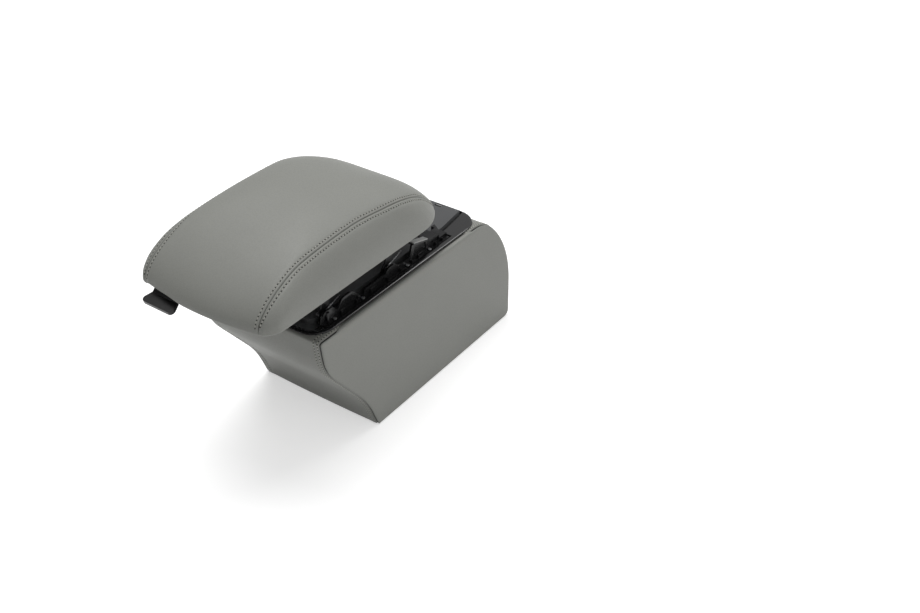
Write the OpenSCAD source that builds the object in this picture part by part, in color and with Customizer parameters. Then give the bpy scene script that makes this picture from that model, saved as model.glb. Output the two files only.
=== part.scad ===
// Car centre armrest: a leather-covered storage box, a hinged lid, and an elbow pad that
// stands on four parallel arms and slides along the lid. It is drawn raised and forward.
// X is across the car, the front of the armrest faces -Y, and Z is up. The origin is the
// middle of the four bolt holes in the underside.

/* [Storage box] */
// Width over the two side covers
box_w = 170; // [164:1:176]
// Height of the leather's top edge above the underside
box_h = 160.5; // [158:0.5:162]
// Distance from the bolt centre to the front edge of the underside
base_front = 130; // [126:1:134]
// Distance from the bolt centre to the upright rear wall
base_rear = 131; // [128:1:134]
// Distance from the bolt centre to the front top edge, which overhangs
top_front = 210.8; // [208:0.5:213]
// Thickness of the leather and its backing
cover_t = 1.5; // [1:0.1:2]
// Wall of the moulded box
wall = 3; // [2.5:0.1:3.5]
// Thickness of the screwed base plate
base_t = 4; // [3:0.5:5]
// Radius of the four mounting holes
bolt_r = 2.75; // [2.2:0.05:3.3]
// Distance between the mounting holes across the car
bolt_span_x = 50; // [40:1:60]
// Distance between the mounting holes along the car
bolt_span_y = 80; // [60:1:100]

/* [Rim and lid] */
// Half width of the plastic rim over its lip
rim_half_w = 79; // [78:0.5:80]
// Front edge of the rim, ahead of the bolt centre
rim_front = 208; // [206:0.5:209]
// Rear edge of the rim, behind the bolt centre
rim_rear = 79.5; // [79:0.5:81]
// Corner radius of the rim
rim_r = 25; // [20:1:28]
// Height of the rim's lip above the leather
rim_lip = 2.5; // [2:0.1:3]
// Half width of the lid's raised middle
deck_half_w = 57; // [55:0.5:57]
// Height of the raised middle above the underside of the box
deck_z = 166.5; // [166:0.1:167]
// Distance of the lid's hinge pin behind the bolt centre
hinge_y = 72; // [71:0.5:72.5]
// Radius of the lid's hinge pin
hinge_pin_r = 1.75; // [1.5:0.05:1.9]

/* [Lifting arms] */
// Length of each arm between its pivots
arm_l = 55.4; // [54:0.1:56]
// Angle of the arms above level when the pad is raised
arm_angle = 65; // [64:0.5:66]
// Height of the four lower pivots
pivot_z = 168; // [168:0.1:168.5]
// Distance of the front lower pivots ahead of the bolt centre
front_pivot = 177; // [175:0.5:178]
// Distance of the rear lower pivots ahead of the bolt centre
rear_pivot = 75; // [73:0.5:76]
// Radius of the lower pivot pins
pin_r = 3; // [2.5:0.1:3.2]
// Radius of the upper rods
rod_r = 2.5; // [2:0.1:2.6]
// Running clearance of a pin in its hole, on the radius
run_gap = 0.05; // [0.03:0.01:0.1]

/* [Elbow pad] */
// Half width of the pad at its lower edge
pad_half_w = 90.5; // [88:0.5:92]
// Front corners of the pad, ahead of the bolt centre
pad_front = 279.5; // [278:0.5:282]
// How far the middle of the front edge bows out past the corners
pad_bow = 16; // [12:0.5:18]
// Rear edge of the pad, behind the bolt centre
pad_rear = 10; // [6:0.5:10]
// Height of the pad's lower edge when raised
pad_z = 210; // [209:0.5:212]
// Height of the pad's crown over its lower edge
pad_h = 66; // [62:0.5:68]
// Depth of the hollow under the pad
pad_hollow = 21; // [20:0.5:22]

/* [Release paddle] */
// Distance of the paddle's middle left of the centre line
paddle_x = 50; // [48:0.5:51]
// Width of the paddle's finger plate at its front edge
paddle_w = 46; // [40:1:48]
// Depth of the paddle's finger plate
paddle_d = 15.5; // [13:0.5:17]
// Thickness of the paddle's finger plate
paddle_t = 4; // [3:0.5:4.5]

/* [Hidden] */
$fn = 48;

leather = "#84857e";
black_plastic = "#1c1c1d";
steel = "#b9babb";
dark_steel = "#3a3b3d";
foam_colour = "#d8cfa8";

// Small lengths shared by several pieces
eps = 0.01;
over = 5;

// Box: where the side profile's straight stretches would meet, and the radii between them
belly = [-206.2, 119.6];
belly_r = 68;
knee = [-145.1, 40.8];
knee_r = 154;
rear_shoulder_z = 107;
rear_shoulder_r = 134;
rear_brow_y = 78.2;
rear_brow_r = 48;
top_front_r = 3;
seam_front = 180;
seam_rear = 48;
base_rear_r = 9;

// Rim and lid heights
rim_top = box_h + rim_lip;
rim_skirt_z = 146;
rim_ledge_z = 153.5;
rim_ledge_t = 3;
rim_wall = 2;
rim_lip_w = 5.4;
rim_pad_y = 27;
rim_rear_r = 30;
ear_in = 20;
ear_out = 28;
ear_gap = 0.5;
lid_z = rim_ledge_z + rim_ledge_t + 1;
lid_t = 3;
lid_top = lid_z + lid_t;
lid_gap = 1.3;
hinge_r = 4;
hinge_z = deck_z - hinge_r;
lid_wall = 2.5;
deck_front = -rim_front + 16;
deck_taper_y = 30;
deck_rear_w = 51;

// Arms, in the plane of one side, as distances from the middle
arm_x = 58.5;
arm_t = 2;
arm_low_r = 7;
arm_top_r = 6;
bracket_x = 65.5;
bracket_t = 2.5;
upper_y = -front_pivot + arm_l * cos(arm_angle);
upper_z = pivot_z + arm_l * sin(arm_angle);
arm_pitch = front_pivot - rear_pivot;

// Slide between the arms and the pad
slide_half_w = 48;
slide_z = upper_z + 5.8;
slide_t = 2;
slide_front = -175;
slide_rear = -32;
ear_x = 38;
runner_front = -212;
runner_rear = -30;

// Pad
pad_corner_r = 20;
pad_rear_r = 54;
pad_bow_r = 380;
pad_mid = (pad_rear - pad_front) / 2;
seam_waist = 76.2;
seam_hip = 79.3;
seam_end = 73;
seam_waist_y = -10;
seam_hip_y = 57;
seam_end_y = 135;
pad_half_l = (pad_front + pad_rear) / 2;
tray_in = 9;
tray_t = 2.5;
tray_z = pad_z + cover_t;
tray_ceiling = pad_z + pad_hollow;

// Paddle pivot
paddle_pivot = [-249, 220];
paddle_pin_r = 2;
paddle_neck_w = 33;
paddle_boss_w = 25;

// Outlines

function unit(v) = v / norm(v);

// Arc of radius r that rounds corner b between its neighbours a and c
function corner_arc(a, b, c, r, steps) =
    let (
        u = unit(a - b),
        v = unit(c - b),
        half = acos(u * v) / 2,
        centre = b + unit(u + v) * r / sin(half),
        first = b + u * r / tan(half) - centre,
        start = atan2(first[1], first[0]),
        sweep = -sign(cross(u, v)) * (180 - 2 * half)
    )
    [for (i = [0:steps]) centre + r * [cos(start + sweep * i / steps), sin(start + sweep * i / steps)]];

function flat(corner) = [corner[0], corner[1]];

// Closed outline from corners [x, y, radius, steps], radius 0 leaving a corner sharp
function rounded_outline(corners) = [
    for (i = [0:len(corners) - 1])
        let (
            n = len(corners),
            a = corners[(i + n - 1) % n],
            b = corners[i],
            c = corners[(i + 1) % n]
        )
        each b[2] > 0 ? corner_arc(flat(a), flat(b), flat(c), b[2], b[3]) : [flat(b)]
];

// The same corners moved inwards by t, so that the outline runs parallel to itself
function inset_corners(corners, t) = [
    for (i = [0:len(corners) - 1])
        let (
            n = len(corners),
            b = corners[i],
            u = unit(flat(corners[(i + n - 1) % n]) - flat(b)),
            v = unit(flat(corners[(i + 1) % n]) - flat(b)),
            bulge = -sign(cross(u, v)),
            half = acos(u * v) / 2,
            moved = flat(b) + bulge * unit(u + v) * t / sin(half)
        )
        [moved[0], moved[1], b[2] > 0 ? max(b[2] - bulge * t, 0.3) : 0, b[3]]
];

function at_height(outline, z) = [for (p = outline) [p[0], p[1], z]];

// Rounded rectangle in plan from its four edges
function plan_corners(half_w, front, rear, r, steps = 8) = [
    [half_w, front, r, steps],
    [half_w, rear, r, steps],
    [-half_w, rear, r, steps],
    [-half_w, front, r, steps]
];

function plan_outline(half_w, front, rear, r, steps = 8) =
    rounded_outline(plan_corners(half_w, front, rear, r, steps));

// Solid skinned over rings of equal point count, which run counter-clockwise seen from above
module loft(rings) {
    n = len(rings[0]);
    last = len(rings) - 1;
    walls = [
        for (i = [0:last - 1], j = [0:n - 1])
            let (k = (j + 1) % n)
            each [
                [i * n + j, (i + 1) * n + k, i * n + k],
                [i * n + j, (i + 1) * n + j, (i + 1) * n + k]
            ]
    ];
    bottom = [for (j = [0:n - 1]) j];
    top = [for (j = [n - 1:-1:0]) last * n + j];
    polyhedron([for (ring = rings) each ring], concat([bottom], walls, [top]), convexity = 6);
}

// Turns a shape drawn in [y, z] and raised by its thickness so that the thickness runs along X
module along_x(x0, x1) {
    translate([x0, 0, 0])
        rotate([90, 0, 90])
            linear_extrude(height = x1 - x0)
                children();
}

module x_cylinder(r, x0, x1, y, z) {
    translate([x0, y, z])
        rotate([0, 90, 0])
            cylinder(r = r, h = x1 - x0);
}

module block(x0, x1, y0, y1, z0, z1) {
    translate([x0, y0, z0])
        cube([x1 - x0, y1 - y0, z1 - z0]);
}

module both_sides() {
    children();
    mirror([1, 0, 0])
        children();
}

// Round wire swept along points, with six sides
module wire(path, r) {
    sides = 6;
    last = len(path) - 1;
    rings = [
        for (i = [0:last])
            let (
                t = unit(path[min(i + 1, last)] - path[max(i - 1, 0)]),
                side = unit(cross(t, abs(t[0]) < 0.9 ? [1, 0, 0] : [0, 1, 0])),
                up = cross(t, side)
            )
            [for (j = [0:sides - 1]) path[i] + r * (cos(360 * j / sides) * side + sin(360 * j / sides) * up)]
    ];
    loft(rings);
}

// Storage box

// Corners of the box seen from its right side, [y, z], with the underside kept at z = 0
function side_corners(t) = inset_corners([
    [-base_front + t * (base_front + knee[0]) / -knee[1], -t, 1.5 + t, 4],
    [base_rear, -t, base_rear_r, 6],
    [base_rear, rear_shoulder_z, rear_shoulder_r, 14],
    [rear_brow_y, box_h, rear_brow_r, 12],
    [-top_front, box_h, top_front_r + t, 4],
    [belly[0], belly[1], belly_r, 10],
    [knee[0], knee[1], knee_r, 10]
], t);

function side_outline(t) = rounded_outline(side_corners(t));

module side_prism(t, half_w) {
    along_x(-half_w, half_w)
        polygon(side_outline(t));
}

shell_half_w = box_w / 2 - cover_t;
room_half_w = shell_half_w - wall;
mouth = [rim_half_w - 4, -rim_front + 4, rim_rear - 4];
mouth_r = rim_r - 4;
boss_places = [[76, -98], [76, 104]];
boss_r = 5;
base_screw_r = 1.75;

module base_screw_posts() {
    both_sides()
        for (place = boss_places) {
            translate([place[0], place[1], base_t])
                cylinder(r = boss_r, h = 16);
            block(place[0], room_half_w + 1, place[1] - 1.5, place[1] + 1.5, base_t, base_t + 16);
        }
}

module box_shell() {
    color(black_plastic)
        difference() {
            union() {
                difference() {
                    side_prism(cover_t, shell_half_w);
                    side_prism(cover_t + wall, room_half_w);
                    linear_extrude(height = box_h + over)
                        polygon(plan_outline(mouth[0], mouth[1], mouth[2], mouth_r));
                    block(-room_half_w, room_half_w, -base_front + 8, base_rear - 10, -1, base_t + over);
                }
                base_screw_posts();
            }
            both_sides()
                for (place = boss_places)
                    translate([place[0], place[1], -1])
                        cylinder(r = base_screw_r, h = 16);
        }
}

module base_ribs() {
    rib_z = base_t + 6;
    for (x = [-bolt_span_x, 0, bolt_span_x])
        block(x - 1, x + 1, -112, 112, base_t - 1, rib_z);
    for (y = [-110, -60, 0, 60, 110])
        block(-66, 66, y - 1, y + 1, base_t - 1, rib_z);
    for (x = [-bolt_span_x / 2, bolt_span_x / 2], y = [-bolt_span_y / 2, bolt_span_y / 2])
        translate([x, y, 0])
            cylinder(r = 8, h = rib_z);
}

module base_plate() {
    color(black_plastic)
        difference() {
            union() {
                intersection() {
                    side_prism(cover_t + wall, room_half_w);
                    block(-room_half_w, room_half_w, -base_front, base_rear, 0, base_t);
                }
                base_ribs();
            }
            for (x = [-bolt_span_x / 2, bolt_span_x / 2], y = [-bolt_span_y / 2, bolt_span_y / 2])
                translate([x, y, -1])
                    cylinder(r = bolt_r, h = 20);
            both_sides()
                for (place = boss_places) {
                    translate([place[0], place[1], -1])
                        cylinder(r = base_screw_r, h = 10);
                    translate([place[0], place[1], -1])
                        cylinder(r = 3.8, h = 3);
                }
        }
}

module base_screws() {
    color(steel)
        both_sides()
            for (place = boss_places)
                translate([place[0], place[1], 0.4]) {
                    cylinder(r = 3.4, h = 1.6);
                    cylinder(r = base_screw_r, h = 12);
                }
}

module floor_mat() {
    mat_z = base_t + 6;
    color("#242425")
        intersection() {
            side_prism(cover_t + wall + 0.5, room_half_w - 0.5);
            difference() {
                block(-room_half_w, room_half_w, -base_front, base_rear, mat_z, mat_z + 2);
                both_sides()
                    for (place = boss_places)
                        translate([place[0], place[1], 0])
                            cylinder(r = boss_r + 4, h = 40);
            }
        }
}

// One side of the cover: a flat panel with a rolled edge, turned in over the top of the wall
module side_cover() {
    roll = [[0, 0], [0.6, 0.25], [1.1, 0.9], [1.5, 2.4]];
    color(leather)
        union() {
            rotate([90, 0, 90])
                loft([for (step = roll) at_height(side_outline(step[1]), shell_half_w + step[0] * cover_t / 1.5)]);
            block(mouth[0] + 0.5, shell_half_w + 0.5, -seam_front, seam_rear, box_h - cover_t, box_h);
        }
}

module side_cover_right() {
    side_cover();
}

module side_cover_left() {
    mirror([1, 0, 0])
        side_cover();
}

// Leather band between the side covers, from its end on top of the box down to the underside
module cover_band(y0, top_y, low_y) {
    top_z = box_h - 10;
    color(leather)
        difference() {
            intersection() {
                difference() {
                    side_prism(0, shell_half_w);
                    side_prism(cover_t, shell_half_w + 1);
                }
                union() {
                    block(-box_w, box_w, min(y0, top_y), max(y0, top_y), top_z, box_h + over);
                    block(-box_w, box_w, min(y0, low_y), max(y0, low_y), -1, top_z);
                }
            }
            translate([0, 0, top_z])
                linear_extrude(height = 2 * over + over)
                    polygon(plan_outline(mouth[0] + 0.5, mouth[1] - 0.5, mouth[2] + 0.5, mouth_r));
        }
}

module front_cover() {
    cover_band(-top_front - 1, -seam_front, -base_front);
}

module rear_cover() {
    cover_band(base_rear + 1, seam_rear, seam_rear);
}

// Rim and lid

// Rim in plan, pulled in by an inset, with its own radius at the rear corners
function rim_plan(inset, rear_r = rim_rear_r, steps = 8) =
    let (w = rim_half_w - inset)
    rounded_outline([
        [w, -rim_front + inset, rim_r - inset, steps],
        [w, rim_rear - inset, rear_r - inset, steps],
        [-w, rim_rear - inset, rear_r - inset, steps],
        [-w, -rim_front + inset, rim_r - inset, steps]
    ]);

// Section of the rim's lip, [inset, height]: a shadow gap over the leather, then a rounded edge
lip_section = [[1.4, 0], [1.4, 0.8], [0, 0.9], [0, 1.3], [0.5, 1.85], [1.5, 2.25], [3, 2.45], [4.8, rim_lip]];

// Raised middle of the lid in plan, widened by a gap: it narrows towards the hinge
function deck_plan(gap, front, rear, front_r = 0, rear_r = 0) =
    rounded_outline([
        [deck_half_w + gap, front, front_r, 8],
        [deck_half_w + gap, deck_taper_y, 0, 1],
        [deck_rear_w + gap, rear, rear_r, 6],
        [-deck_rear_w - gap, rear, rear_r, 6],
        [-deck_half_w - gap, deck_taper_y, 0, 1],
        [-deck_half_w - gap, front, front_r, 8]
    ]);

module rim_prism(inset, z0, z1, rear_r = rim_rear_r) {
    translate([0, 0, z0])
        linear_extrude(height = z1 - z0)
            polygon(rim_plan(inset, rear_r));
}

module hinge_ears() {
    both_sides() {
        x_cylinder(hinge_r, ear_in, ear_out, hinge_y, hinge_z);
        block(ear_in, ear_out, hinge_y, rim_rear - 2, hinge_z - hinge_r, hinge_z);
    }
}

module top_rim() {
    skirt_in = 4.2;
    ledge_in = 11;
    color(black_plastic)
        difference() {
            union() {
                difference() {
                    loft([for (step = lip_section) at_height(rim_plan(step[0]), box_h + step[1])]);
                    // wide mouth ahead of the two rear corner pads, narrow mouth between them
                    intersection() {
                        rim_prism(rim_lip_w, box_h - 1, rim_top + 1);
                        block(-rim_half_w, rim_half_w, -rim_front, rim_pad_y, 0, rim_top + over);
                    }
                    linear_extrude(height = rim_top + over)
                        polygon(deck_plan(2, 0, hinge_y + hinge_r + 0.6));
                }
                difference() {
                    rim_prism(0, box_h - 14, box_h);
                    rim_prism(rim_wall, box_h - 15, box_h + 1);
                    side_prism(0, box_w);
                    block(-box_w, box_w, -rim_front - 1, 30, 0, box_h + over);
                }
                difference() {
                    rim_prism(skirt_in, rim_skirt_z, box_h + eps, rim_r);
                    rim_prism(skirt_in + rim_wall, rim_skirt_z - 1, box_h + 1, rim_r);
                }
                difference() {
                    rim_prism(skirt_in, rim_ledge_z, rim_ledge_z + rim_ledge_t, rim_r);
                    rim_prism(ledge_in, rim_ledge_z - 1, rim_ledge_z + rim_ledge_t + 1, rim_r);
                }
                difference() {
                    hinge_ears();
                    x_cylinder(hinge_pin_r, -ear_out - 1, ear_out + 1, hinge_y, hinge_z);
                }
            }
            // room for the lid's rounded nose between and beside the ears
            x_cylinder(hinge_r + 0.5, -ear_in + eps, ear_in - eps, hinge_y, hinge_z);
            both_sides()
                x_cylinder(hinge_r + 0.5, ear_out + eps, deck_rear_w + 1.5, hinge_y, hinge_z);
        }
}

module hinge_pin() {
    color(steel)
        x_cylinder(hinge_pin_r, -ear_out - 12, ear_out + 12, hinge_y, hinge_z);
}

module lid_plan(side_in) {
    intersection() {
        polygon(rim_plan(rim_lip_w + lid_gap + side_in));
        union() {
            translate([-rim_half_w, -rim_front])
                square([2 * rim_half_w, rim_front + rim_pad_y - lid_gap]);
            polygon(deck_plan(0.8, 0, hinge_y));
        }
    }
}

module lid_base() {
    rib_z = lid_z + eps;
    color("#4a4a4b")
        difference() {
            union() {
                difference() {
                    union() {
                        translate([0, 0, lid_z])
                            linear_extrude(height = lid_t)
                                lid_plan(0);
                        intersection() {
                            linear_extrude(height = deck_z)
                                polygon(deck_plan(0, deck_front, hinge_y + hinge_r + eps, 10, 5));
                            union() {
                                block(-rim_half_w, rim_half_w, deck_front, hinge_y, lid_top - eps, deck_z);
                                x_cylinder(hinge_r, -deck_half_w, deck_half_w, hinge_y, hinge_z);
                            }
                        }
                    }
                    translate([0, 0, lid_z - 1])
                        linear_extrude(height = deck_z - lid_wall - lid_z + 1)
                            polygon(deck_plan(-lid_wall, deck_front + 10, hinge_y - 8));
                }
                for (x = [-28, 0, 28])
                    block(x - 1, x + 1, deck_front + 8, hinge_y - 7, rib_z, deck_z - 1);
                for (y = [-150, -110, -70, -30, 10])
                    block(-deck_half_w + 1, deck_half_w - 1, y - 1, y + 1, rib_z, deck_z - 1);
            }
            x_cylinder(hinge_pin_r + run_gap, -ear_out - 13, ear_out + 13, hinge_y, hinge_z);
            both_sides()
                block(ear_in - ear_gap, ear_out + ear_gap, hinge_y - hinge_r - 1.5, hinge_y + over, lid_z - 1, deck_z + 1);
            both_sides()
                for (y = bracket_screw_y)
                    translate([bracket_screw_x, y, lid_z - 1])
                        cylinder(r = 1.25, h = lid_t + 2);
        }
}

module lid_bumpers() {
    color("#202020")
        both_sides()
            for (y = [-185, 10])
                translate([70.2, y, rim_ledge_z + rim_ledge_t])
                    cylinder(r = 2.2, h = 1);
}

// Side bracket of the lid, seen from the right: two pivot lobes joined by a low rail, with the
// front lobe's guard and the rear stop
block_z = 172;
block_y = [-7, 24.5];
// Middle and radius of the rear corner of the pad's hollow when the pad is down
hollow_corner = [32, -17.2];
hollow_r = 45.5;
bracket_corners = [
    [-195, lid_top, 0, 1],
    [block_y[1], lid_top, 0, 1],
    [block_y[1], block_z, 0, 1],
    [block_y[0], block_z, 1, 2],
    [-9, 175, 1, 2],
    [-12, 176.6, 1, 2],
    [-38, 183.6, 1, 2],
    [-43, 169, 3, 3],
    [-63, 168, 3, 3],
    [-68, 174.5, 6, 5],
    [-82, 174.5, 6, 5],
    [-85, 170, 2, 2],
    [-121, 170, 1.5, 3],
    [-122, 163.5, 0.8, 2],
    [-127, 163.5, 0.8, 2],
    [-128.5, 168, 2, 3],
    [-140, 178.5, 8, 5],
    [-156, 178.5, 8, 5],
    [-165, 166.5, 3, 3],
    [-169, 176.5, 6.5, 5],
    [-185, 176.5, 6.5, 5],
    [-189.5, 163, 2, 3],
    [-195, 163, 0.8, 2]
];
bracket_screw_x = 70;
bracket_screw_y = [-171, -126, -50, -10];
deck_screw = [54.5, -179];
pivot_hole_t = 1.8;

// Hollows in the outside of the bracket, which leave a wall round each bay
bracket_bays = [
    [[-186, 165], [-184, 172], [-182, 174], [-181, 165]],
    [[-164, 165.5], [-156, 175.5], [-141, 175.5], [-132, 168], [-132, 165.5]],
    [[-119, 165.5], [-119, 167.5], [-88, 167.5], [-88, 165.5]],
    [[-38, 165.5], [-34.5, 180], [-15, 174.5], [-14, 165.5]],
    [[-5, 165.5], [-5, 170], [9, 170], [9, 165.5]]
];

module arm_bracket() {
    outer = bracket_x + bracket_t;
    bay_t = 1.1;
    color(black_plastic)
        difference() {
            union() {
                along_x(bracket_x, outer)
                    polygon(rounded_outline(bracket_corners));
                // foot that the screws go through
                block(outer - 1, 72, -187, block_y[1], lid_top, lid_top + 2);
                // shelf under the stop pad
                along_x(bracket_x - 3, 69.5)
                    polygon([[-38, 182], [-12, 175.4], [-11.6, 176.6], [-37.6, 183.5]]);
                // post that backs the front spring
                translate([outer - 0.4, -179, lid_top])
                    cylinder(r = 2.2, h = 14);
                // head of the rear stop, which reaches in over the edge of the lid's middle
                difference() {
                    block(51, bracket_x + eps, block_y[0], block_y[1], deck_z + 0.3, block_z);
                    block(50, 56, 9, 18, deck_z, block_z + 1);
                    block(50, 53, -8, 2, deck_z, block_z - 1.5);
                }
                for (y = [-160, -136, -112, -84, -62, -42, -30, 2, 14])
                    block(outer - 1, outer + 2.2, y - 0.8, y + 0.8, lid_top, lid_top + 5);
            }
            // the stop's rear corner keeps inside the hollow of the lowered pad
            difference() {
                block(50, 80, 0, block_y[1] + 1, 167, block_z + 1);
                translate([hollow_corner[0], hollow_corner[1], lid_top])
                    cylinder(r = hollow_r, h = 20);
            }
            for (bay = bracket_bays)
                along_x(outer - bay_t, outer + 1)
                    polygon([for (i = [len(bay) - 1:-1:0]) bay[i]]);
            for (y = [-front_pivot, -rear_pivot])
                x_cylinder(pin_r, bracket_x - 1, bracket_x + pivot_hole_t, y, pivot_z);
            for (y = bracket_screw_y)
                translate([bracket_screw_x, y, lid_top - 1])
                    cylinder(r = 1.6, h = 8);
        }
}

// Light pads on the rear stops, which the pad's tray lands on
module stop_pads() {
    color("#b9bab8")
        both_sides()
            along_x(bracket_x - 2.9, 69.4)
                polygon([[-37.2, 183.4], [-12.6, 176.9], [-12.3, 178.1], [-36.9, 184.6]]);
}

module arm_bracket_right() {
    arm_bracket();
}

module arm_bracket_left() {
    mirror([1, 0, 0])
        arm_bracket();
}

module bracket_screws() {
    color(steel)
        both_sides() {
            translate([deck_screw[0], deck_screw[1], deck_z])
                cylinder(r = 2.1, h = 1.4);
            for (y = bracket_screw_y)
                translate([bracket_screw_x, y, 0]) {
                    translate([0, 0, lid_top + 2])
                        cylinder(r = 2, h = 1.3);
                    translate([0, 0, lid_z])
                        cylinder(r = 1.25, h = lid_t + 2.5);
                }
        }
}

module pivot_pins() {
    color(steel)
        both_sides()
            for (y = [-front_pivot, -rear_pivot]) {
                x_cylinder(pin_r, arm_x - 0.6, bracket_x + pivot_hole_t, y, pivot_z);
                x_cylinder(4, arm_x - 1.2, arm_x - 0.4, y, pivot_z);
            }
}

// Torsion spring on a lower pivot: two turns, then a leg up the bracket's guard
module lift_spring(y) {
    wire_r = 0.7;
    coil_r = 4.4;
    turns = 2;
    steps = 12;
    first = arm_x + arm_t + 1.1;
    pitch = 1.45;
    coil = [
        for (i = [0:turns * steps])
            [
                first + pitch * i / steps,
                y + coil_r * cos(90 - 360 * i / steps),
                pivot_z + coil_r * sin(90 - 360 * i / steps)
            ]
    ];
    leg = [[first, y + 8, pivot_z + 5.6], [first, y + 25, pivot_z + 10.5]];
    wire(concat([leg[1], leg[0], [first, y + 2.2, pivot_z + 4.5]], [for (i = [1:len(coil) - 1]) coil[i]]), wire_r);
}

module lift_springs() {
    color(steel)
        both_sides()
            for (y = [-front_pivot, -rear_pivot])
                lift_spring(y);
}

// Arms

// One U-shaped arm about its own lower pivot, leaning back by the raised angle
module arm(top_gap) {
    tube_r = 4;
    rotate([arm_angle, 0, 0])
        difference() {
            union() {
                both_sides() {
                    x_cylinder(arm_low_r, arm_x, arm_x + arm_t, 0, 0);
                    x_cylinder(arm_top_r, arm_x, arm_x + arm_t, arm_l, 0);
                    block(arm_x, arm_x + arm_t, 0, arm_l, -4.5, 4.5);
                }
                x_cylinder(tube_r, -arm_x - 0.5, arm_x + 0.5, arm_l / 2, 0);
            }
            x_cylinder(pin_r + run_gap, -arm_x - arm_t - 1, arm_x + arm_t + 1, 0, 0);
            x_cylinder(rod_r + top_gap, -arm_x - arm_t - 1, arm_x + arm_t + 1, arm_l, 0);
        }
}

module front_arm() {
    color(dark_steel)
        translate([0, -front_pivot, pivot_z])
            arm(run_gap);
}

module rear_arm() {
    color(dark_steel)
        translate([0, -rear_pivot, pivot_z])
            arm(0.3);
}

// Slide

module slide_plate() {
    ear_low = upper_z - 6;
    color(dark_steel)
        difference() {
            union() {
                block(-slide_half_w, slide_half_w, slide_front, slide_rear, slide_z, slide_z + slide_t);
                both_sides()
                    for (y = [upper_y, upper_y + arm_pitch]) {
                        block(ear_x, ear_x + 2, y - 9, y + 9, upper_z, slide_z);
                        x_cylinder(6.5, ear_x, ear_x + 2, y, upper_z);
                    }
            }
            for (y = [upper_y, upper_y + arm_pitch])
                x_cylinder(rod_r, -ear_x - 3, ear_x + 3, y, upper_z);
            // row of lightening holes
            for (y = [-128, -92, -62])
                translate([0, y, slide_z - 1])
                    cylinder(r = 11, h = slide_t + 2);
        }
}

module upper_rod(y) {
    color(steel)
        union() {
            x_cylinder(rod_r, -arm_x - 3.6, arm_x + 3.6, y, upper_z);
            both_sides()
                x_cylinder(4, arm_x + arm_t + 0.5, arm_x + arm_t + 1.6, y, upper_z);
        }
}

module front_rod() {
    upper_rod(upper_y);
}

module rear_rod() {
    upper_rod(upper_y + arm_pitch);
}

// Elbow pad

// Corners of the pad in plan, pulled in by separate amounts at the sides, front and rear
function pad_corners(side, front, rear) =
    let (
        w = pad_half_w - side,
        part = w / pad_half_w
    )
    [
        [0, -pad_front - pad_bow * part + front, pad_bow_r * part, 8],
        [w, -pad_front + front, pad_corner_r * part, 8],
        [w, pad_rear - rear, pad_rear_r * part, 8],
        [-w, pad_rear - rear, pad_rear_r * part, 8],
        [-w, -pad_front + front, pad_corner_r * part, 8]
    ];

function pad_outline(inset) = rounded_outline(pad_corners(inset, inset, inset));

// Cubic curve through its first and last control values
function curve(p, t) =
    p[0] * pow(1 - t, 3) + 3 * p[1] * t * pow(1 - t, 2) + 3 * p[2] * t * t * (1 - t) + p[3] * pow(t, 3);

// Inset and rise of the pad's skin from its lower edge, t = 0, to its crown, t = 1
side_curve = [0, -3, 1, 82];
front_curve = [0, 0, 56, 132];
rear_curve = [0, 17, 57, 136];
rise_curve = [5, 36, pad_h, pad_h];
front_fall = 18;
rear_fall = 9;

// Fall of the crown towards the two ends of the pad
function fall(y) = (y < pad_mid ? front_fall : rear_fall) * pow((y - pad_mid) / pad_half_l, 2);

function pad_ring(t, skin) =
    let (
        rise = curve(rise_curve, t),
        outline = rounded_outline(pad_corners(
            curve(side_curve, t) + skin * (1 - t),
            curve(front_curve, t) + skin * (1 - t),
            curve(rear_curve, t) + skin * (1 - t)
        ))
    )
    [for (p = outline) [p[0], p[1], pad_z + rise - fall(p[1]) * rise / pad_h - skin * t]];

pad_steps = 14;

module pad_form(skin, low) {
    loft(concat(
        [at_height(rounded_outline(pad_corners(2 + skin, 2 + skin, 2 + skin)), low)],
        [at_height(rounded_outline(pad_corners(0.5 + skin, 0.5 + skin, 0.5 + skin)), low + 1.6)],
        [for (i = [0:pad_steps]) pad_ring(i / pad_steps, skin)]
    ));
}

module pad_skin() {
    difference() {
        pad_form(0, pad_z);
        pad_form(cover_t, tray_z);
        neck_notch();
        translate([0, 0, pad_z - 1])
            linear_extrude(height = 3)
                polygon(pad_outline(tray_in + tray_t));
    }
}

function ease(a, b, t) = a + (b - a) * (1 - cos(180 * min(max(t, 0), 1))) / 2;

// Right seam in plan: straight over the front half of the pad, then out over a hip and in again
function seam_x(y) =
    let (d = y - pad_mid)
    d < seam_hip_y
        ? ease(seam_waist, seam_hip, (d - seam_waist_y) / (seam_hip_y - seam_waist_y))
        : ease(seam_hip, seam_end, (d - seam_hip_y) / (seam_end_y - seam_hip_y));

module seam_region() {
    steps = 40;
    y0 = pad_mid - 2 * pad_half_l;
    y1 = pad_mid + 2 * pad_half_l;
    polygon(concat(
        [[120, y0], [120, y1]],
        [for (i = [steps:-1:0]) let (y = y0 + (y1 - y0) * i / steps) [seam_x(y), y]]
    ));
}

module seam_prism() {
    translate([0, 0, pad_z - over])
        linear_extrude(height = 90)
            seam_region();
}

module pad_cover_right() {
    color(leather)
        intersection() {
            pad_skin();
            seam_prism();
        }
}

module pad_cover_left() {
    color(leather)
        intersection() {
            pad_skin();
            mirror([1, 0, 0])
                seam_prism();
        }
}

module pad_cover_top() {
    color(leather)
        difference() {
            pad_skin();
            both_sides()
                seam_prism();
        }
}

// Prism of the tray's outline: its skirt follows the pad's edge, its crown keeps back from the
// rounded front and rear
module skirt_prism(inset, z0, z1) {
    translate([0, 0, z0])
        linear_extrude(height = z1 - z0)
            polygon(pad_outline(tray_in + inset));
}

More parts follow.
